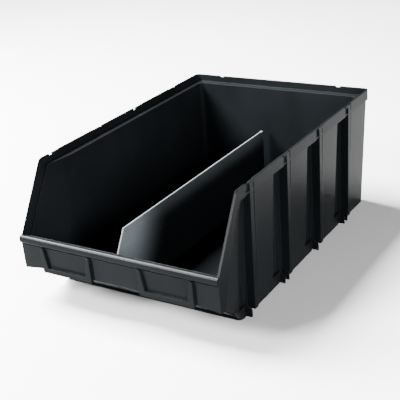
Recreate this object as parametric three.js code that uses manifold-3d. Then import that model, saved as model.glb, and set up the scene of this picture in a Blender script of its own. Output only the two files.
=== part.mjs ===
// Open-fronted stacking crate: a one-piece moulded bin with double side walls, and a lengthwise
// divider that lifts out. Millimetres, +Z up, +Y towards the back wall, +X towards the right wall.
// The origin is on the ground, at the middle of the footprint.
import * as THREE from 'three';
import { mergeVertices } from 'three/addons/utils/BufferGeometryUtils.js';
import Module from 'manifold-3d';

const wasm = await Module();
wasm.setup();

// ---- Driving dimensions ------------------------------------------------------------------------

const BIN_WIDTH = 334;          // outside, over the stiffening ribs
const BIN_LENGTH = 506;         // front bars to the hanging band at the back
const BIN_HEIGHT = 199;         // ground to the top of the rim
const WALL = 2.6;               // moulded wall
const RIB_WALL = 2.2;           // thinner ribs and fins
const RIB_PROUD = 0.8;          // stiffening rib past the rim band

const LIP_HEIGHT = 104;         // ground to the top of the rolled front lip
const SLOPE_RUN = 60;           // how far the sloping side edge runs back from the lip to the rim
const SLOPE_RADIUS = 9;         // rim corner, where the slope meets the level rim
const BAND_HEIGHT = 17;         // upright band round the rim
const SLOPE_FLANGE = 5.5;       // width of the flange down each sloping edge
const LEDGE_DROP = 11.5;        // rim top to the stacking ledge
const SLOPE_LEDGE_DROP = 15.5;  // the same down the slopes, square to them
const SLOPE_CHAMFER = [2.2, 2.4];  // outer edge of the slopes: chamfer width and drop
const SIDE_LEDGE = 13;          // width of the stacking ledge along a side wall
const BACK_LEDGE = 11.5;        // width of the stacking ledge along the back wall
const BACK_SET = 4.5;           // plumb outer back wall, inside the hanging band
const RIM_CORNER_RADIUS = 7;    // back corners of the rim, seen from above

const PANEL_DRAFT = 11.5;       // outer panel leans in by this much from the band to the ground
const WALL_DRAFT = 2.5;         // inner side wall leans in by this much from the ledge to the floor
const BACK_DRAFT = 8;           // back wall leans in by this much

const CHEEK_TURN = 0.38;        // line where a cheek starts to lean: forward per unit down
const CHEEK_DEPTH = 6.2;        // cheek, outer face to inner face
const CAVITY_RADIUS = 9;        // upright back corners, inside
const SKIRT_RADIUS = 11;        // upright back corners, outside
const FLOOR_TOP = 8;            // inside floor above the ground
const BASE_SETBACK = 71;        // front of the base behind the front bars
const NOSE_HEIGHT = 57;         // ground to the bottom edge of the front face
const NOSE_CORNER_DROP = 5;     // the outer corners of that edge hang lower
const ARCH_FRONT = [-52, 49];   // arched foot of the cheek, [ahead of or behind the base, height]
const ARCH_REAR = [-20, 24];
const ARCH_FOOT = [-4, 6];

const FACE_SETBACK = 4;         // front face behind the bars that stand on it
const LIP_ROLL = 11;            // height of the rolled lip
const LIP_DEPTH = 8.5;          // front to back of the rolled lip
const LIP_SET = 0.6;            // rolled lip behind the front bars
const LIP_ROUNDING = [3, 4.5, 3, 1];  // its corners: front foot, front top, rear top, rear foot
const NECK_HEIGHT = 2.2;        // groove under the rolled lip
const NECK_DEPTH = 1.8;
const RIDGE = [1.3, 1.3, 1.4];  // ridge behind the lip: groove width, ridge width, below the lip top
const RIDGE_GROOVE = 3.2;       // groove between them, below the lip top
const FOOT_RADIUS = 8;          // front corners of the base, seen from above
const FRAME_INNER = 41;         // card holder, edge nearer the middle, from the centre line
const FRAME_OUTER = 128;        // card holder, outer edge, from the centre line
const FRAME_BAR_TOP = 4;        // width of an upright bar at its top
const FRAME_BAR_FOOT = 9.5;     // and at its foot
const FRAME_SILL = 7.5;         // height of the bottom bar
const FRAME_DROP = 3.8;         // bottom bar below the edge of the front face

const BAY_COUNT = 4;            // rib bays on each side wall
const FIRST_BAY = 45;           // start of the level rim to the first panel behind a bay
const LAST_PANEL = 71;          // length of the rear panel of a side wall
const POCKET_LENGTH = 53;       // open pocket and ribs of one bay
const POCKET_CHAMFER = [10, 17];  // cut off the top front corner of the first pocket, along and down
const SLIT = 3.5;               // gap between the stiffening rib and the next panel
const RIB_WIDTH = 9;            // stiffening rib, along the wall
const RIB_LEAN = 4.5;           // it leans in by this much at its foot
const NOTCH = 9;                // gap in the rim in front of the stiffening rib
const RIB_FOOT = 7;             // foot of a stiffening rib above the ground
const FIN_SET = [27.5, 15];     // pocket fins, ahead of the panel behind the bay
const FIN_DEPTH = 2;            // pocket fin, out from the inner wall at its top
const FIN_WALL = 1.6;
const PRONG_WIDE = 3;           // single foot prong of the odd bays
const PRONG_SET = 3.4;          // tip of a prong, inside the face of the rim band
const PRONG_HEIGHT = 12;        // and its height there
const SILL_HEIGHT = 19;         // closed foot of a pocket
const SILL_INSET = 0.4;         // that foot, behind the panels
const CAP_DROP = 1;             // rib caps below the rim top
const GAP_DROP = 2.8;           // rim over the gaps, below the rim top
const NOTCH_DEPTH = 1.5;        // gaps cut this far into the outer face of the rim

const BACK_BAY_OFFSET = 112;    // back wall bays, from the centre line
const BACK_BAY_WIDTH = 26;
const BACK_GAP = 7.5;           // gap cut in the rim over each back bay
const BACK_GAP_DROP = 1.4;      // rim over it, below the rim top
const WALL_LINES = [28, 35, 43];  // fine raised lines on the inner side walls, above the ground
const LINE_PROUD = 0.5;
const LINE_HEIGHT = 0.8;
const LINE_START = -124;
const LINE_END = 78;
const FLOOR_RIB_GAP = 1.2;      // ribs under the floor, above the ground
const FLOOR_RIBS_ALONG = 4;
const FLOOR_RIBS_ACROSS = 6;

const DIVIDER_OFFSET = -21;     // middle of the divider, left of the centre line
const DIVIDER_THICKNESS = 2;
const DIVIDER_TOP = 115.5;      // ground to the top of the divider
const DIVIDER_BACK_GAP = 15;    // divider to the back wall
const DIVIDER_FRONT_GAP = 41;   // divider behind the sloping side edge, square to that edge
const DIVIDER_BEAD = 5.4;       // thick edge at the back of the divider
const TONGUE_LENGTH = 28;       // feet of the divider, in slots through the floor
const TONGUE_PLACES = [-0.3, 0.05, 0.38];
const FIT_GAP = 0.4;            // clearance round the divider
const CUT_PAST = 1;             // cuts and joins run past a face by this much

const CRATE_BLACK = 0x17191a;
const DIVIDER_BLACK = 0x1c1e20;

// ---- Places worked out from them ---------------------------------------------------------------

const halfWidth = BIN_WIDTH / 2;
const bandFace = halfWidth - RIB_PROUD;
const back = BIN_LENGTH / 2;
const front = -BIN_LENGTH / 2;
const faceFront = front + FACE_SETBACK;
const frontInside = faceFront + WALL;
const bandFoot = BIN_HEIGHT - BAND_HEIGHT;
const ledgeTop = BIN_HEIGHT - LEDGE_DROP;
const lipTopY = front + LIP_DEPTH / 2;
const rimFront = lipTopY + SLOPE_RUN;
const insideTop = bandFace - WALL - SIDE_LEDGE;
const insideFoot = insideTop - WALL_DRAFT;
const backInsideTop = back - WALL - BACK_LEDGE;
const backInsideFoot = backInsideTop - BACK_DRAFT;
const baseFront = front + BASE_SETBACK;
const panelFoot = bandFace - PANEL_DRAFT;
const backPanel = back - BACK_SET;
const farAbove = BIN_HEIGHT * 2;
const farOut = BIN_LENGTH;
const slopeRate = SLOPE_RUN / (BIN_HEIGHT - LIP_HEIGHT);
const slopeStretch = Math.hypot(1, slopeRate);
const panelRate = PANEL_DRAFT / bandFoot;

const firstPanel = rimFront + FIRST_BAY;
const lastPanel = backPanel - LAST_PANEL;
const bayPitch = (lastPanel - firstPanel) / (BAY_COUNT - 1);
const panelStarts = Array.from({ length: BAY_COUNT }, (_, i) => firstPanel + i * bayPitch);

// ---- Outlines and solids -----------------------------------------------------------------------

// Turns [u, v] or [u, v, radius] corners into an outline whose corners are rounded by arcs.
function rounded(corners, steps = 6) {
  const points = [];
  corners.forEach(([u, v, radius = 0], i) => {
    const corner = new THREE.Vector2(u, v);
    if (!radius) {
      points.push(corner);
      return;
    }
    const before = corners[(i + corners.length - 1) % corners.length];
    const after = corners[(i + 1) % corners.length];
    const toBefore = new THREE.Vector2(before[0], before[1]).sub(corner).normalize();
    const toAfter = new THREE.Vector2(after[0], after[1]).sub(corner).normalize();
    const halfAngle = Math.acos(toBefore.dot(toAfter)) / 2;
    const centre = toBefore.clone().add(toAfter).normalize()
      .multiplyScalar(radius / Math.sin(halfAngle)).add(corner);
    const start = toBefore.multiplyScalar(radius / Math.tan(halfAngle)).add(corner).sub(centre);
    const end = toAfter.multiplyScalar(radius / Math.tan(halfAngle)).add(corner).sub(centre);
    let turn = end.angle() - start.angle();
    if (turn > Math.PI) turn -= 2 * Math.PI;
    if (turn < -Math.PI) turn += 2 * Math.PI;
    for (let k = 0; k <= steps; k += 1) {
      points.push(start.clone().rotateAround(new THREE.Vector2(), turn * k / steps).add(centre));
    }
  });
  return points;
}

function toSolid(geometry) {
  geometry.deleteAttribute('normal');
  geometry.deleteAttribute('uv');
  const merged = mergeVertices(geometry, 1e-4);
  return new wasm.Manifold(new wasm.Mesh({
    numProp: 3,
    vertProperties: new Float32Array(merged.attributes.position.array),
    triVerts: new Uint32Array(merged.index.array),
  }));
}

function extrude(corners, depth, right, up, away, origin) {
  const shape = new THREE.Shape(rounded(corners));
  const geometry = new THREE.ExtrudeGeometry(shape, { depth, bevelEnabled: false, steps: 1 });
  const basis = new THREE.Matrix4().makeBasis(right, up, away).setPosition(origin);
  return toSolid(geometry.applyMatrix4(basis));
}

const X = new THREE.Vector3(1, 0, 0);
const Y = new THREE.Vector3(0, 1, 0);
const Z = new THREE.Vector3(0, 0, 1);

// A [y, z] outline pushed along X, an [x, z] outline pushed along Y, an [x, y] outline along Z.
const alongX = (corners, x0, x1) => extrude(corners, x1 - x0, Y, Z, X, new THREE.Vector3(x0, 0, 0));
const alongY = (corners, y0, y1) =>
  extrude(corners, y1 - y0, X, Z, Y.clone().negate(), new THREE.Vector3(0, y1, 0));
const alongZ = (corners, z0, z1) => extrude(corners, z1 - z0, X, Y, Z, new THREE.Vector3(0, 0, z0));
const block = (x0, x1, y0, y1, z0, z1) => alongZ([[x0, y0], [x1, y0], [x1, y1], [x0, y1]], z0, z1);

// The same, on the right wall when side is 1 and mirrored on to the left wall when it is -1.
const sideBlock = (side, x0, x1, y0, y1, z0, z1) =>
  block(Math.min(side * x0, side * x1), Math.max(side * x0, side * x1), y0, y1, z0, z1);
const sidePlate = (side, corners, y0, y1) =>
  alongY(corners.map(([x, z]) => [side * x, z]), y0, y1);
const sideSlab = (side, corners, x0, x1) =>
  alongX(corners, Math.min(side * x0, side * x1), Math.max(side * x0, side * x1));

const join = (solids) => solids.reduce((whole, next) => whole.add(next));

// Everything on or under the level rim, lowered by drop, and the slope, lowered square to itself.
function underRim(drop, slopeDrop = drop) {
  const top = BIN_HEIGHT - drop;
  const cornerY = rimFront + slopeDrop * slopeStretch - drop * slopeRate;
  const lowZ = -BIN_HEIGHT;
  const lowY = cornerY - (top - lowZ) * slopeRate;
  return [[farOut, lowZ], [farOut, top], [cornerY, top, SLOPE_RADIUS], [lowY, lowZ]];
}

// Outline of a side wall seen from the side: level rim, slope, nose, sloping underside and base.
function sideOutline() {
  const noseFoot = NOSE_HEIGHT - NOSE_CORNER_DROP;
  return [
    [back, 0], [back, BIN_HEIGHT], [rimFront, BIN_HEIGHT, SLOPE_RADIUS],
    [lipTopY, LIP_HEIGHT - LIP_ROLL / 4], [faceFront, LIP_HEIGHT - LIP_ROLL / 2],
    [faceFront, noseFoot], [baseFront + ARCH_FRONT[0], ARCH_FRONT[1]],
    [baseFront + ARCH_REAR[0], ARCH_REAR[1]], [baseFront + ARCH_FOOT[0], ARCH_FOOT[1]],
    [baseFront + FOOT_RADIUS, 0],
  ];
}

// ---- Sub-parts of the bin ----------------------------------------------------------------------

// Solid whose sides and back lean outwards by a rate, with rounded back corners. It starts at
// height low with half width x and back edge y.
function leaning(x, y, radius, low, high, rateX, rateY) {
  const halves = [1, -1].map((side) => {
    const plan = [[side * x, -farOut], [side * x, y, radius], [-side * farOut, y], [-side * farOut, -farOut]];
    const lean = new THREE.Vector3(side * rateX, rateY, 1);
    return extrude(plan, high - low, X, Y, lean, new THREE.Vector3(0, 0, low));
  });
  return halves[0].intersect(halves[1]);
}

// Solid between the two cheeks, inset from their outer faces. A cheek is upright at the rim band's
// face in front of a line down from the rim corner, and behind and below that line it leans in.
function betweenCheeks(inset) {
  const square = [[-farOut, -farOut], [farOut, -farOut], [farOut, farOut], [-farOut, farOut]];
  const halves = [1, -1].map((side) => {
    const backwards = new THREE.Vector3(-side * panelRate / CHEEK_TURN, 1, 0);
    const upwards = new THREE.Vector3(side * panelRate, 0, 1);
    const face = side * (panelFoot - inset) - (side > 0 ? 2 * farOut : 0);
    return extrude(square, 2 * farOut, backwards, upwards, X, new THREE.Vector3(face, rimFront, 0));
  });
  const x = bandFace - inset;
  return halves[0].intersect(halves[1]).intersect(block(-x, x, -farOut, farOut, -farOut, farOut));
}

// The cavity grown by a wall thickness: floor, sloping nose floor, walls that lean outwards, and
// the wider room between the cheeks.
function cavity(grow) {
  const rise = ledgeTop - FLOOR_TOP;
  const low = FLOOR_TOP - grow;
  const lengthwise = [
    [farOut, low], [farOut, farAbove], [frontInside - grow, farAbove],
    [frontInside - grow, NOSE_HEIGHT + WALL - grow], [baseFront, low],
  ];
  return leaning(insideFoot + grow, backInsideFoot + grow, CAVITY_RADIUS + grow, low, farAbove,
    WALL_DRAFT / rise, BACK_DRAFT / rise)
    .add(betweenCheeks(CHEEK_DEPTH - grow).intersect(block(-halfWidth, halfWidth, -farOut, 0, low, farAbove)))
    .intersect(alongX(lengthwise, -farOut, farOut));
}

// Solid tub round the cavity. The cavity is cut out of it once the outer pieces are on.
function tub() {
  return cavity(WALL).intersect(alongX(underRim(LEDGE_DROP, SLOPE_LEDGE_DROP), -halfWidth, halfWidth));
}

// Everything under the rim and the slopes, with the outer edges of the slopes chamfered.
function chamferedSlopes() {
  const [width, drop] = SLOPE_CHAMFER;
  const x = bandFace - width;
  const rate = drop * slopeStretch / width;
  const reach = halfWidth + CUT_PAST - x;
  const right = extrude(underRim(0), reach, Y, Z, new THREE.Vector3(1, rate, 0), new THREE.Vector3(x, 0, 0));
  const left = extrude(underRim(0), reach, Y, Z, new THREE.Vector3(1, -rate, 0),
    new THREE.Vector3(-x - reach, rate * reach, 0));
  return join([alongX(underRim(0), -x, x), right, left]);
}

function rimPlan(inset) {
  const x = bandFace - inset;
  const y = back - inset;
  const radius = RIM_CORNER_RADIUS - inset;
  return [[x, -farOut], [x, y, radius], [-x, y, radius], [-x, -farOut]];
}

// Upright band round the rim and down the slopes, with the ledge that the next crate stands on.
function rimBand() {
  const whole = alongX(underRim(0), -halfWidth, halfWidth);
  const strip = whole.subtract(alongX(underRim(SLOPE_FLANGE), -halfWidth, halfWidth))
    .add(whole.intersect(block(-halfWidth, halfWidth, -farOut, farOut, bandFoot, farAbove)));
  const ahead = block(-halfWidth, halfWidth, -farOut, lipTopY, 0, farAbove);
  const skin = alongZ(rimPlan(0), 0, farAbove).subtract(alongZ(rimPlan(WALL), 0, farAbove));
  const ledge = alongX(underRim(LEDGE_DROP, SLOPE_LEDGE_DROP), -halfWidth, halfWidth)
    .subtract(alongX(underRim(LEDGE_DROP + WALL, SLOPE_LEDGE_DROP + WALL), -halfWidth, halfWidth))
    .intersect(alongZ(rimPlan(WALL / 2), 0, farAbove));
  const band = skin.intersect(strip).add(ledge).subtract(ahead);
  return band.subtract(block(-halfWidth, halfWidth, -farOut, farOut, 0, NOSE_HEIGHT));
}

const panelX = (z) => panelFoot + panelRate * z;

// Outer skirt round the sides and the back, open where the pockets of the bays are.
function skirt() {
  const high = ledgeTop - WALL / 2;
  const hull = (inset) => leaning(panelFoot - inset, backPanel - inset, SKIRT_RADIUS - inset,
    0, high, panelRate, 0)
    .add(betweenCheeks(inset).intersect(block(-halfWidth, halfWidth, -farOut, rimFront + WALL, 0, high)));
  const trimmed = hull(0).subtract(hull(WALL))
    .intersect(alongX(sideOutline(), -bandFace, bandFace));
  const pockets = panelStarts.map((panel, i) => {
    const start = i ? panel - POCKET_LENGTH : rimFront;
    const [along, down] = i ? [0, 0] : POCKET_CHAMFER;
    const top = bandFoot + WALL / 2;
    const corners = [[start, -CUT_PAST], [panel, -CUT_PAST], [panel, top], [start + along, top]];
    if (down) corners.push([start, top - down]);
    return alongX(corners, -farOut, farOut)
      .subtract(block(-insideFoot, insideFoot, -farOut, farOut, -farOut, farOut));
  });
  const backPockets = [-1, 1].map((side) => {
    const middle = side * BACK_BAY_OFFSET;
    return block(middle - BACK_BAY_WIDTH / 2, middle + BACK_BAY_WIDTH / 2, backInsideTop + WALL, farOut,
      -CUT_PAST, bandFoot + WALL / 2);
  });
  return trimmed.subtract(join([...pockets, ...backPockets]));
}

// Flank that ties the rear edge of a panel, which ends at y, to the inner wall.
function panelFlank(side, y) {
  return sidePlate(side, [
    [insideFoot + WALL / 2, 0], [panelX(0) - WALL / 2, 0], [bandFace - WALL / 2, bandFoot],
    [bandFace - WALL / 2, ledgeTop], [insideTop + WALL / 2, ledgeTop],
  ], y - RIB_WALL, y);
}

// Upright fin at the front edge of a panel: its outer edge leans in half as much as the panel.
function edgeFin(side, y) {
  return sidePlate(side, [
    [insideFoot + WALL / 2, RIB_FOOT], [(panelFoot + bandFace) / 2, RIB_FOOT], [bandFace, bandFoot],
    [bandFace, ledgeTop - WALL / 2], [insideTop + WALL / 2, ledgeTop - WALL / 2],
  ], y, y + WALL);
}

// Box-shaped stiffening rib, open downwards, with a flat cap over its top.
function stiffeningRib(side, panel, capStart, capEnd) {
  const y0 = panel - SLIT - RIB_WIDTH;
  const y1 = panel - SLIT;
  const capTop = BIN_HEIGHT - CAP_DROP;
  const lipInside = bandFace - WALL;
  const shoulder = ledgeTop - WALL / 2;
  const shell = sidePlate(side, [
    [insideFoot + WALL / 2, RIB_FOOT], [halfWidth - RIB_LEAN, RIB_FOOT], [halfWidth, bandFoot],
    [halfWidth, shoulder], [insideFoot + WALL / 2, shoulder],
  ], y0, y1);
  const coreX = halfWidth - RIB_WALL;
  const core = sidePlate(side, [
    [0, -CUT_PAST], [coreX - RIB_LEAN, -CUT_PAST], [coreX - RIB_LEAN, RIB_FOOT], [coreX, bandFoot],
    [coreX, shoulder - WALL / 2], [0, shoulder - WALL / 2],
  ], y0 + RIB_WALL, y1 - RIB_WALL);
  const tab = sideBlock(side, lipInside, halfWidth, y0, y1, shoulder - WALL / 2, capTop);
  const cap = sideBlock(side, lipInside, halfWidth, capStart, capEnd, capTop - WALL, capTop);
  return join([shell.subtract(core), tab, cap]);
}

function finOutline() {
  return [
    [insideFoot + WALL / 2, 0], [bandFace - PRONG_SET, 0], [bandFace - PRONG_SET, PRONG_HEIGHT],
    [insideTop + FIN_DEPTH, SILL_HEIGHT], [insideTop + FIN_DEPTH, bandFoot + WALL],
    [insideTop + WALL / 2, bandFoot + WALL],
  ];
}

// Fins in the pocket. Odd bays end in one wide prong, even bays in a fork of two.
function pocketFins(side, panel, forked) {
  const full = finOutline();
  const fins = join(FIN_SET.map((ahead) =>
    sidePlate(side, full, panel - ahead - FIN_WALL, panel - ahead)));
  if (forked) return fins;
  const short = sideBlock(side, panelFoot - WALL, halfWidth, panel - POCKET_LENGTH, panel,
    -CUT_PAST, SILL_HEIGHT);
  const middle = panel - (FIN_SET[0] + FIN_SET[1] + FIN_WALL) / 2;
  const prong = sidePlate(side, full, middle - PRONG_WIDE / 2, middle + PRONG_WIDE / 2)
    .intersect(sideBlock(side, 0, halfWidth, -farOut, farOut, 0, SILL_HEIGHT));
  return fins.subtract(short).add(prong);
}

function pocketSill(side, pocketStart, panel) {
  const footX = panelX(0) - SILL_INSET;
  const topX = panelX(SILL_HEIGHT) - SILL_INSET;
  return sidePlate(side, [
    [footX - WALL, 0], [footX, 0], [topX, SILL_HEIGHT], [insideFoot + WALL / 2, SILL_HEIGHT],
    [insideFoot + WALL / 2, SILL_HEIGHT - RIB_WALL], [topX - WALL, SILL_HEIGHT - RIB_WALL],
  ], pocketStart - RIB_WALL / 2, panel - FIN_SET[0]).intersect(sideSlab(side, sideOutline(), 0, halfWidth));
}

// One bay: pocket, fins and stiffening rib ahead of the panel that starts at y = panel.
function bay(side, index) {
  const panel = panelStarts[index];
  const forked = index % 2 === 1;
  const rib = panel - SLIT - RIB_WIDTH;
  const capStart = forked ? rib - NOTCH : rib - RIB_WALL / 2;
  const capEnd = forked ? panel - SLIT : panel + WALL;
  const pocketStart = index ? panel - POCKET_LENGTH : rimFront;
  return join([
    stiffeningRib(side, panel, capStart, capEnd),
    pocketFins(side, panel, forked),
    pocketSill(side, pocketStart, panel),
    edgeFin(side, panel),
  ]);
}

// The gaps cut into the outer face of the rim band at one bay, and its lowered top there.
function bayNotch(side, index) {
  const panel = panelStarts[index];
  const rib = panel - SLIT - RIB_WIDTH;
  const depth = bandFace - NOTCH_DEPTH;
  const gap = sideBlock(side, depth, halfWidth + CUT_PAST, rib - NOTCH, rib, 0, farAbove);
  const slit = sideBlock(side, depth, halfWidth + CUT_PAST, panel - SLIT, panel, 0, farAbove);
  const overGap = sideBlock(side, bandFace - 2 * WALL, halfWidth + CUT_PAST, rib - NOTCH, rib,
    BIN_HEIGHT - GAP_DROP, farAbove);
  const overRib = sideBlock(side, bandFace - 2 * WALL, halfWidth + CUT_PAST, rib - WALL, panel,
    BIN_HEIGHT - CAP_DROP, farAbove);
  return join([gap, slit, overGap, overRib]);
}

function backNotch(side) {
  const near = BACK_BAY_OFFSET - BACK_GAP / 2;
  const gap = sideBlock(side, near, near + BACK_GAP, back - NOTCH_DEPTH, back + CUT_PAST, 0, farAbove);
  const lowered = sideBlock(side, near, near + BACK_GAP, back - 2 * WALL, back + CUT_PAST,
    BIN_HEIGHT - BACK_GAP_DROP, farAbove);
  return gap.add(lowered);
}

function panelFlanks(side) {
  const ends = panelStarts.map((panel, i) => (i ? panel - POCKET_LENGTH : rimFront));
  const underLedge = underRim(LEDGE_DROP + WALL / 2, SLOPE_LEDGE_DROP + WALL / 2);
  return join(ends.map((y) => panelFlank(side, y)))
    .intersect(sideSlab(side, sideOutline(), 0, halfWidth))
    .intersect(sideSlab(side, underLedge, 0, halfWidth));
}

// Ribs between the two back walls, one each side of a back pocket.
function backRibs() {
  const places = [-1, 1].flatMap((side) => [-1, 1].map((edge) =>
    side * BACK_BAY_OFFSET + edge * BACK_BAY_WIDTH / 2));
  return join(places.map((x) => alongX([
    [backInsideFoot + WALL / 2, 0], [backPanel - WALL / 2, 0],
    [backPanel - WALL / 2, ledgeTop - WALL / 2], [backInsideTop + WALL / 2, ledgeTop - WALL / 2],
  ], x - RIB_WALL / 2, x + RIB_WALL / 2)));
}

// Front face with its rolled lip, the groove under it and the two card holders.
function frontFace() {
  const faceTop = LIP_HEIGHT - LIP_ROLL - NECK_HEIGHT;
  const noseFoot = NOSE_HEIGHT - NOSE_CORNER_DROP;
  const face = alongY([
    [-bandFace, faceTop], [bandFace, faceTop], [bandFace, noseFoot], [FRAME_OUTER, NOSE_HEIGHT],
    [-FRAME_OUTER, NOSE_HEIGHT], [-bandFace, noseFoot],
  ], faceFront, frontInside);
  const neck = block(-bandFace, bandFace, faceFront + NECK_DEPTH, frontInside,
    faceTop - WALL, LIP_HEIGHT - LIP_ROLL / 2);
  const ahead = front + LIP_SET;
  const rear = ahead + LIP_DEPTH;
  const roll = alongX([
    [ahead, LIP_HEIGHT - LIP_ROLL, LIP_ROUNDING[0]], [ahead, LIP_HEIGHT, LIP_ROUNDING[1]],
    [rear, LIP_HEIGHT, LIP_ROUNDING[2]], [rear, LIP_HEIGHT - LIP_ROLL, LIP_ROUNDING[3]],
  ], -bandFace, bandFace);
  const [groove, ridge, drop] = RIDGE;
  const rim = alongX([
    [rear - CUT_PAST, LIP_HEIGHT - LIP_ROLL], [rear - CUT_PAST, LIP_HEIGHT - RIDGE_GROOVE],
    [rear + groove, LIP_HEIGHT - RIDGE_GROOVE], [rear + groove, LIP_HEIGHT - drop],
    [rear + groove + ridge, LIP_HEIGHT - drop], [rear + groove + ridge, LIP_HEIGHT - LIP_ROLL / 2],
    [rear, LIP_HEIGHT - LIP_ROLL],
  ], -bandFace + WALL / 2, bandFace - WALL / 2);
  return join([face, neck, roll, rim, cardHolder(-1), cardHolder(1)]);
}

// A bar down each side and a sill, round a card-sized recess that is narrower at its foot.
function cardHolder(side) {
  const top = LIP_HEIGHT - LIP_ROLL - NECK_HEIGHT;
  const foot = NOSE_HEIGHT - FRAME_DROP;
  const plate = sidePlate(side, [
    [FRAME_INNER, foot], [FRAME_OUTER, foot], [FRAME_OUTER, top], [FRAME_INNER, top],
  ], front, frontInside - WALL / 2);
  const recess = sidePlate(side, [
    [FRAME_INNER + FRAME_BAR_FOOT, foot + FRAME_SILL], [FRAME_OUTER - FRAME_BAR_FOOT, foot + FRAME_SILL],
    [FRAME_OUTER - FRAME_BAR_TOP, top + CUT_PAST], [FRAME_INNER + FRAME_BAR_TOP, top + CUT_PAST],
  ], front - CUT_PAST, faceFront);
  return plate.subtract(recess);
}

// Skirt under the front of the base, and stiffening ribs under the floor.
function underside() {
  const ribTop = FLOOR_TOP - WALL / 2;
  const ringEnd = baseFront + 2 * FOOT_RADIUS;
  const plan = (inset) => {
    const x = panelFoot - SILL_INSET / 2 - inset;
    const y = baseFront + inset;
    const radius = FOOT_RADIUS - inset;
    return [[-x, ringEnd], [-x, y, radius], [x, y, radius], [x, ringEnd]];
  };
  const skirt = alongZ(plan(0), 0, ribTop).subtract(alongZ(plan(WALL), -CUT_PAST, ribTop - WALL / 2));
  const ribs = [];
  for (let i = 1; i <= FLOOR_RIBS_ALONG; i += 1) {
    const x = -insideFoot + 2 * insideFoot * i / (FLOOR_RIBS_ALONG + 1);
    ribs.push(block(x - RIB_WALL / 2, x + RIB_WALL / 2, baseFront + WALL / 2, backInsideFoot + WALL / 2,
      FLOOR_RIB_GAP, ribTop));
  }
  for (let i = 1; i <= FLOOR_RIBS_ACROSS; i += 1) {
    const y = baseFront + (backInsideFoot - baseFront) * i / (FLOOR_RIBS_ACROSS + 1);
    ribs.push(block(-insideFoot - WALL / 2, insideFoot + WALL / 2, y - RIB_WALL / 2, y + RIB_WALL / 2,
      FLOOR_RIB_GAP, ribTop));
  }
  return join([skirt, ...ribs]);
}

const tonguePlaces = TONGUE_PLACES.map((share) => share * (backInsideFoot - baseFront));

// Slots through the floor that hold the feet of the divider.
function tongueSlots() {
  const halfSlot = DIVIDER_THICKNESS / 2 + FIT_GAP;
  return join(tonguePlaces.map((y) => block(DIVIDER_OFFSET - halfSlot, DIVIDER_OFFSET + halfSlot,
    y - TONGUE_LENGTH / 2 - FIT_GAP, y + TONGUE_LENGTH / 2 + FIT_GAP, -CUT_PAST, FLOOR_TOP + CUT_PAST)));
}

// Fine raised lines that run along the inside of a side wall.
function wallLines(side) {
  const rate = WALL_DRAFT / (ledgeTop - FLOOR_TOP);
  return join(WALL_LINES.map((height) => {
    const wallX = insideFoot + (height - FLOOR_TOP) * rate;
    return sideBlock(side, wallX - LINE_PROUD, wallX + WALL / 2, LINE_START, LINE_END,
      height - LINE_HEIGHT / 2, height + LINE_HEIGHT / 2);
  }));
}

function bin() {
  const outer = [tub(), skirt(), backRibs(), underside()];
  const notches = [backNotch(-1), backNotch(1)];
  for (const side of [-1, 1]) {
    outer.push(panelFlanks(side));
    for (let i = 0; i < BAY_COUNT; i += 1) {
      outer.push(bay(side, i));
      notches.push(bayNotch(side, i));
    }
  }
  outer.push(rimBand().subtract(join(notches)));
  const shell = join(outer).subtract(cavity(0)).intersect(chamferedSlopes());
  return join([shell, frontFace(), wallLines(-1), wallLines(1)]).subtract(tongueSlots());
}

// ---- Divider -----------------------------------------------------------------------------------

// Upright panel that follows the floor, the sloping nose floor and the slope of the side walls.
function divider() {
  const x0 = DIVIDER_OFFSET - DIVIDER_THICKNESS / 2;
  const x1 = DIVIDER_OFFSET + DIVIDER_THICKNESS / 2;
  const foot = FLOOR_TOP + FIT_GAP;
  const rear = backInsideFoot - DIVIDER_BACK_GAP;
  const rearTop = rear + BACK_DRAFT * (DIVIDER_TOP - FLOOR_TOP) / (ledgeTop - FLOOR_TOP);
  const outline = [[rear, foot], [rearTop, DIVIDER_TOP], [front, DIVIDER_TOP], [front, foot]];
  const panel = alongX(outline, x0, x1)
    .intersect(alongX(underRim(DIVIDER_FRONT_GAP), x0 - CUT_PAST, x1 + CUT_PAST))
    .intersect(cavity(-FIT_GAP));
  const beadSide = DIVIDER_BEAD / 4;
  const bead = alongX([
    [rear - DIVIDER_BEAD, foot], [rear, foot], [rearTop, DIVIDER_TOP],
    [rearTop - DIVIDER_BEAD, DIVIDER_TOP],
  ], x0 - beadSide, x1 + beadSide);
  const tongues = tonguePlaces.map((y) => block(x0, x1, y - TONGUE_LENGTH / 2, y + TONGUE_LENGTH / 2,
    FLOOR_TOP - WALL, foot + CUT_PAST));
  return join([panel, bead, ...tongues]);
}

// ---- Scene graph -------------------------------------------------------------------------------

function named(name, solid, color, roughness) {
  const { numProp, vertProperties, triVerts } = solid.getMesh();
  const geometry = new THREE.BufferGeometry();
  const positions = new Float32Array(vertProperties.length / numProp * 3);
  for (let i = 0; i < positions.length / 3; i += 1) {
    positions.set(vertProperties.subarray(i * numProp, i * numProp + 3), i * 3);
  }
  geometry.setAttribute('position', new THREE.BufferAttribute(positions, 3));
  geometry.setIndex(new THREE.BufferAttribute(new Uint32Array(triVerts), 1));
  geometry.computeVertexNormals();
  const material = new THREE.MeshStandardMaterial({ color, roughness, metalness: 0 });
  const mesh = new THREE.Mesh(geometry, material);
  mesh.name = name;
  return mesh;
}

const crate = new THREE.Group();
crate.add(named('bin_body', bin(), CRATE_BLACK, 0.42));
crate.add(named('divider_panel', divider(), DIVIDER_BLACK, 0.5));

export default crate;
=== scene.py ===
"""Black stacking crate: moulded bin and its lift-out divider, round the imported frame. Metres."""

import math

import bmesh
import bpy
from mathutils import Matrix, Vector


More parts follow.
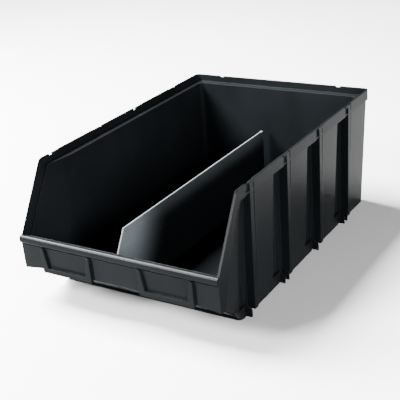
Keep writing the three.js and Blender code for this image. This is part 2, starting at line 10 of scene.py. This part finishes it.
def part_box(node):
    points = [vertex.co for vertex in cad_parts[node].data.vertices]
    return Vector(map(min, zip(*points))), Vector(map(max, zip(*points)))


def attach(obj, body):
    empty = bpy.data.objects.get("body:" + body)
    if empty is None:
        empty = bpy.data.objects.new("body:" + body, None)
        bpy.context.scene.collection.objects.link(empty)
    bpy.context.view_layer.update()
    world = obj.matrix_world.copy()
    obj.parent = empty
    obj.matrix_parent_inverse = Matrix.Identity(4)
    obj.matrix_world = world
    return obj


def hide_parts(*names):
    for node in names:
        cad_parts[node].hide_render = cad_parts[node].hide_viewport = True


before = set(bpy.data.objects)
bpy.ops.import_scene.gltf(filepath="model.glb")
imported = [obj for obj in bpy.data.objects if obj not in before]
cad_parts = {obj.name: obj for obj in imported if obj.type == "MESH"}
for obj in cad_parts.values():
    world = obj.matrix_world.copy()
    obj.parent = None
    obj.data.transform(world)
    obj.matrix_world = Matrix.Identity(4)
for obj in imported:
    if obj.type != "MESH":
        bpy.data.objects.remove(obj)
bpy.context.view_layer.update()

MM = 0.001

# ---- Camera ---------------------------------------------------------------------------------------

CAMERA_PLACE = Vector((709.6, -1083.1, 653.8)) * MM
CAMERA_AZIMUTH = 33.84
CAMERA_ELEVATION = 23.85
CAMERA_ROLL = -5.51
CAMERA_LENS = 81.2
SENSOR = 36.0

# ---- Fine ribs behind the pockets, placed from the bin's box ----------------------------------------

BAY_COUNT = 4
FIRST_BAY = 109.25 * MM         # front of the box to the panel behind the first bay
LAST_BAY = 430.5 * MM           # and to the panel behind the last one
RIBBED_BAYS = 3                 # the first bay is taken up by the wider cheek
RIBS_IN_BAY = 2
RIB_AHEAD = 44 * MM             # first rib of a bay, ahead of that panel
RIB_SPACING = 6.5 * MM
RIB_RADIUS = 0.7 * MM
RIB_SIDES = 10
RIB_FOOT = 19.5 * MM            # above the ground
RIB_TOP_DROP = 17 * MM          # top of a rib below the rim
POCKET_DEPTH_FOOT = 16.1 * MM   # pocket wall inside the box, at the foot and at the top of a rib
POCKET_DEPTH_TOP = 13.8 * MM

# ---- Mouldings ------------------------------------------------------------------------------------

MERGE_DISTANCE = 0.02 * MM      # corners of the frame's triangles closer than this are one
FLAT_ANGLE = math.radians(1)    # neighbours that turn by less than this are one flat face

# ---- Surface of the plastic: patterns per metre, and heights ----------------------------------------

PLASTIC_IOR = 1.49
CLOUD_SCALE = 9.0               # faint clouding
GRAIN_SCALE = 2600.0            # fine mould texture
FLOW_SCALE = 14.0               # flow marks, drawn out upwards
FLOW_STRETCH = (1.0, 1.0, 0.18)
SCUFF_SCALE = 60.0              # rubbed scuffs, drawn out along the bin
SCUFF_STRETCH = (1.0, 0.25, 3.0)
GRAIN_HEIGHT = 0.06 * MM
FLOW_HEIGHT = 0.6 * MM

# ---- Studio ---------------------------------------------------------------------------------------

FLOOR_REACH = 30.0
FLOOR_DROP = 0.5 * MM           # floor below the bin's foot
ROOM_LIGHT = 0.15               # strength of the even white light all round
LIGHT_AIM = (0.0, 0.0, 0.08)    # what every softbox is turned to
SOFTBOXES = (                   # name, place, size and watts
    ("overhead_softbox", (-1.5, -0.05, 2.05), (1.3, 1.6), 2500),
    ("slope_softbox", (-1.3, -1.8, 1.6), (0.7, 0.7), 700),
    ("right_softbox", (2.1, -1.0, 0.8), (0.5, 1.0), 340),
)


def add_camera():
    azimuth = math.radians(CAMERA_AZIMUTH)
    elevation = math.radians(CAMERA_ELEVATION)
    roll = math.radians(CAMERA_ROLL)
    forward = Vector((
        -math.sin(azimuth) * math.cos(elevation),
        math.cos(azimuth) * math.cos(elevation),
        -math.sin(elevation),
    ))
    level = Vector((math.cos(azimuth), math.sin(azimuth), 0))
    upright = level.cross(forward)
    right = math.cos(roll) * level + math.sin(roll) * upright
    up = -math.sin(roll) * level + math.cos(roll) * upright
    data = bpy.data.cameras.new("camera")
    data.lens = CAMERA_LENS
    data.sensor_width = SENSOR
    camera = bpy.data.objects.new("camera", data)
    turned = Matrix((right, up, -forward)).transposed()
    camera.matrix_world = Matrix.Translation(CAMERA_PLACE) @ turned.to_4x4()
    bpy.context.scene.collection.objects.link(camera)
    bpy.context.scene.camera = camera


# ---- Shader maths as expressions ------------------------------------------------------------------

class Value:
    """A shader socket that adds Math nodes when it is used in an expression."""

    def __init__(self, shader, socket):
        self.shader = shader
        self.socket = socket

    def _math(self, operation, *others):
        return self.shader.node("ShaderNodeMath", {"operation": operation}, *others)

    def __add__(self, other):
        return self._math("ADD", self, other)

    def __radd__(self, other):
        return self._math("ADD", other, self)

    def __sub__(self, other):
        return self._math("SUBTRACT", self, other)

    def __rsub__(self, other):
        return self._math("SUBTRACT", other, self)

    def __mul__(self, other):
        return self._math("MULTIPLY", self, other)

    def __rmul__(self, other):
        return self._math("MULTIPLY", other, self)

    def steps(self, low, high):
        """0 below low, 1 above high and a smooth rise between."""
        settings = {"interpolation_type": "SMOOTHSTEP"}
        return self.shader.node("ShaderNodeMapRange", settings, self, low, high, 0.0, 1.0)


class Shader:
    """A material whose nodes are added by node() and by expressions on Values."""

    def __init__(self, name):
        self.material = bpy.data.materials.new(name)
        self.material.use_nodes = True
        self.tree = self.material.node_tree
        self.tree.nodes.clear()
        self.place = self.node("ShaderNodeTexCoord", {}, output="Object")

    def node(self, kind, settings=None, *inputs, output=0, **named):
        made = self.tree.nodes.new(kind)
        for name, value in (settings or {}).items():
            setattr(made, name, value)
        for key, value in [*enumerate(inputs), *named.items()]:
            socket = made.inputs[key.replace("_", " ") if isinstance(key, str) else key]
            if isinstance(value, Value):
                self.tree.links.new(value.socket, socket)
            elif value is not None:
                socket.default_value = value
        return Value(self, made.outputs[output])

    def noise(self, scale, detail=2.0, place=None, roughness=0.5):
        return self.node(
            "ShaderNodeTexNoise", {}, Vector=place or self.place, Scale=scale, Detail=detail,
            Roughness=roughness,
        )

    def stretched(self, scale):
        return self.node("ShaderNodeMapping", {}, Vector=self.place, Scale=scale)

    def mix(self, factor, first, second):
        """A colour between two colours."""
        return self.node(
            "ShaderNodeMix", {"data_type": "RGBA"}, factor, None, None, None, None, None,
            first, second, output=2,
        )

    def bump(self, height, distance, strength=1.0, normal=None):
        return self.node(
            "ShaderNodeBump", {}, Strength=strength, Distance=distance, Height=height, Normal=normal,
        )

    def finish(self, **sockets):
        surface = self.node("ShaderNodeBsdfPrincipled", {}, **sockets)
        self.node_output(surface)
        return self.material

    def node_output(self, surface):
        made = self.tree.nodes.new("ShaderNodeOutputMaterial")
        self.tree.links.new(surface.socket, made.inputs["Surface"])


# ---- Finishes -------------------------------------------------------------------------------------

def moulded_plastic(name, dark, light, roughness, gloss, edge_radius):
    """Black polypropylene: fine mould texture, faint flow clouding and rubbed scuffs."""
    shader = Shader(name)
    cloud = shader.noise(CLOUD_SCALE, 4.0)
    grain = shader.noise(GRAIN_SCALE, 2.0)
    flow = shader.noise(FLOW_SCALE, 3.0, shader.stretched(FLOW_STRETCH))
    rubs = shader.noise(SCUFF_SCALE, 5.0, shader.stretched(SCUFF_STRETCH), 0.7)
    scuffs = rubs.steps(0.60, 0.72)
    tone = (cloud * 0.6 + flow * 0.4).steps(0.35, 0.65)
    moulded = shader.mix(tone, (*dark, 1.0), (*light, 1.0))
    rubbed = shader.mix(scuffs * 0.25, moulded, tuple(2 * c for c in light) + (1.0,))
    matt = roughness + (cloud - 0.5) * 0.10 + (grain - 0.5) * 0.08 + scuffs * 0.06
    rounded = shader.node("ShaderNodeBevel", {"samples": 6}, Radius=edge_radius)
    texture = shader.bump(grain, GRAIN_HEIGHT, 0.5, rounded)
    waviness = shader.bump(flow, FLOW_HEIGHT, 0.25, texture)
    return shader.finish(
        Base_Color=rubbed, Roughness=matt, Normal=waviness, IOR=PLASTIC_IOR,
        Specular_IOR_Level=gloss,
    )


def bin_plastic():
    return moulded_plastic(
        "bin_plastic", dark=(0.0012, 0.0015, 0.0017), light=(0.0019, 0.0023, 0.0026),
        roughness=0.31, gloss=0.02, edge_radius=0.9 * MM,
    )


def divider_plastic():
    return moulded_plastic(
        "divider_plastic", dark=(0.030, 0.035, 0.038), light=(0.039, 0.045, 0.048),
        roughness=0.50, gloss=0.04, edge_radius=0.2 * MM,
    )


def pale_floor():
    shader = Shader("pale_floor")
    speck = shader.noise(30.0, 3.0)
    colour = shader.mix(speck, (0.22, 0.22, 0.22, 1.0), (0.235, 0.235, 0.235, 1.0))
    return shader.finish(Base_Color=colour, Roughness=0.7 + speck * 0.1)


# ---- Pieces ---------------------------------------------------------------------------------------

def linked(name, mesh):
    thing = bpy.data.objects.new(name, mesh)
    bpy.context.scene.collection.objects.link(thing)
    return thing


def baked(thing):
    """Replaces an object's modifiers by the mesh that they give."""
    graph = bpy.context.evaluated_depsgraph_get()
    mesh = bpy.data.meshes.new_from_object(thing.evaluated_get(graph))
    thing.modifiers.clear()
    thing.data = mesh
    return thing


def clean_moulding(node, name):
    """A moulding with the frame's shape, its triangles joined into flat faces."""
    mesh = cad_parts[node].data.copy()
    mesh.materials.clear()
    work = bmesh.new()
    work.from_mesh(mesh)
    bmesh.ops.remove_doubles(work, verts=work.verts, dist=MERGE_DISTANCE)
    bmesh.ops.dissolve_limit(work, angle_limit=FLAT_ANGLE, verts=work.verts, edges=work.edges)
    work.to_mesh(mesh)
    work.free()
    return linked(name, mesh)


class RibTree:
    """Geometry Nodes tree: rows of half-round upright ribs, one row in each bay of a side wall."""

    INPUTS = {
        "Bays": ("NodeSocketInt", 4),
        "First rib": ("NodeSocketVector", (0.0, 0.0, 0.0)),
        "Bay pitch": ("NodeSocketVector", (0.0, 0.1, 0.0)),
        "Ribs in a bay": ("NodeSocketInt", 3),
        "Rib spacing": ("NodeSocketVector", (0.0, 0.005, 0.0)),
        "Rib rise": ("NodeSocketVector", (0.0, 0.0, 0.15)),
        "Rib radius": ("NodeSocketFloat", 0.0006),
        "Finish": ("NodeSocketMaterial", None),
    }

    def __init__(self):
        self.tree = bpy.data.node_groups.new("upright_ribs", "GeometryNodeTree")
        for name, (kind, value) in self.INPUTS.items():
            socket = self.tree.interface.new_socket(name, in_out="INPUT", socket_type=kind)
            if value is not None:
                socket.default_value = value
        self.tree.interface.new_socket("Ribs", in_out="OUTPUT", socket_type="NodeSocketGeometry")
        sizes = self.tree.nodes.new("NodeGroupInput").outputs
        bays = self.row(sizes["Bays"], sizes["First rib"], sizes["Bay pitch"])
        ribs = self.row(sizes["Ribs in a bay"], None, sizes["Rib spacing"])
        spine = self.node("GeometryNodeCurvePrimitiveLine", End=sizes["Rib rise"])
        section = self.node("GeometryNodeCurvePrimitiveCircle", Resolution=RIB_SIDES,
                            Radius=sizes["Rib radius"])
        rib = self.node("GeometryNodeCurveToMesh", {}, Curve=spine, Profile_Curve=section,
                        Fill_Caps=True)
        bay = self.node("GeometryNodeInstanceOnPoints", Points=ribs, Instance=rib)
        rows = self.node("GeometryNodeInstanceOnPoints", Points=bays, Instance=bay)
        real = self.node("GeometryNodeRealizeInstances", Geometry=rows)
        finished = self.node("GeometryNodeSetMaterial", Geometry=real, Material=sizes["Finish"])
        output = self.tree.nodes.new("NodeGroupOutput")
        self.tree.links.new(finished, output.inputs["Ribs"])

    def node(self, kind, settings=None, **inputs):
        made = self.tree.nodes.new(kind)
        for name, value in (settings or {}).items():
            setattr(made, name, value)
        for key, value in inputs.items():
            socket = made.inputs[key.replace("_", " ")]
            if isinstance(value, bpy.types.NodeSocket):
                self.tree.links.new(value, socket)
            elif value is not None:
                socket.default_value = value
        return made.outputs[0]

    def row(self, count, start, step):
        return self.node("GeometryNodeMeshLine", {"mode": "OFFSET"}, Count=count,
                         Start_Location=start, Offset=step)

    def grow(self, name, **sizes):
        """A plain mesh object made by the tree with these sizes."""
        thing = linked(name, bpy.data.meshes.new(name))
        rows = thing.modifiers.new("ribs", "NODES")
        rows.node_group = self.tree
        for item in self.tree.interface.items_tree:
            if item.in_out == "INPUT" and item.name in sizes:
                rows[item.identifier] = sizes[item.name]
        return baked(thing)


def add_bin():
    plastic = bin_plastic()
    moulding = clean_moulding("bin_body", "moulded_bin")
    moulding.data.materials.append(plastic)
    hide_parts("bin_body")
    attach(moulding, "bin")
    add_pocket_ribs(plastic)


def add_pocket_ribs(plastic):
    """Fine upright ribs on the wall behind each pocket, on both sides of the bin."""
    low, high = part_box("bin_body")
    tree = RibTree()
    pitch = (LAST_BAY - FIRST_BAY) / (BAY_COUNT - 1)
    for side, name in ((1, "pocket_ribs_right"), (-1, "pocket_ribs_left")):
        wall_foot = Vector((side * (high.x - POCKET_DEPTH_FOOT), 0, RIB_FOOT))
        wall_top = Vector((side * (high.x - POCKET_DEPTH_TOP), 0, high.z - RIB_TOP_DROP))
        ribs = tree.grow(name, **{
            "Bays": RIBBED_BAYS,
            "First rib": (wall_foot.x, low.y + FIRST_BAY + pitch - RIB_AHEAD, wall_foot.z),
            "Bay pitch": (0.0, pitch, 0.0),
            "Ribs in a bay": RIBS_IN_BAY,
            "Rib spacing": (0.0, RIB_SPACING, 0.0),
            "Rib rise": tuple(wall_top - wall_foot),
            "Rib radius": RIB_RADIUS,
            "Finish": plastic,
        })
        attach(ribs, "bin")


def add_divider():
    panel = clean_moulding("divider_panel", "divider")
    panel.data.materials.append(divider_plastic())
    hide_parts("divider_panel")
    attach(panel, "divider")


# ---- Floor and lights -----------------------------------------------------------------------------

def add_floor():
    reach, low = FLOOR_REACH, -FLOOR_DROP
    corners = [(-reach, -reach, low), (reach, -reach, low), (reach, reach, low), (-reach, reach, low)]
    mesh = bpy.data.meshes.new("floor")
    mesh.from_pydata(corners, [], [(0, 1, 2, 3)])
    floor = linked("floor", mesh)
    floor.data.materials.append(pale_floor())


def add_softbox(name, place, size, watts):
    data = bpy.data.lights.new(name, "AREA")
    data.shape = "RECTANGLE"
    data.size, data.size_y = size
    data.energy = watts
    lamp = bpy.data.objects.new(name, data)
    lamp.location = place
    lamp.rotation_euler = (Vector(LIGHT_AIM) - Vector(place)).to_track_quat("-Z", "Y").to_euler()
    bpy.context.scene.collection.objects.link(lamp)


def add_studio():
    add_floor()
    for softbox in SOFTBOXES:
        add_softbox(*softbox)
    world = bpy.data.worlds.new("studio")
    world.use_nodes = True
    background = world.node_tree.nodes["Background"]
    background.inputs["Color"].default_value = (1, 1, 1, 1)
    background.inputs["Strength"].default_value = ROOM_LIGHT
    bpy.context.scene.world = world


add_camera()
add_bin()
add_divider()
add_studio()
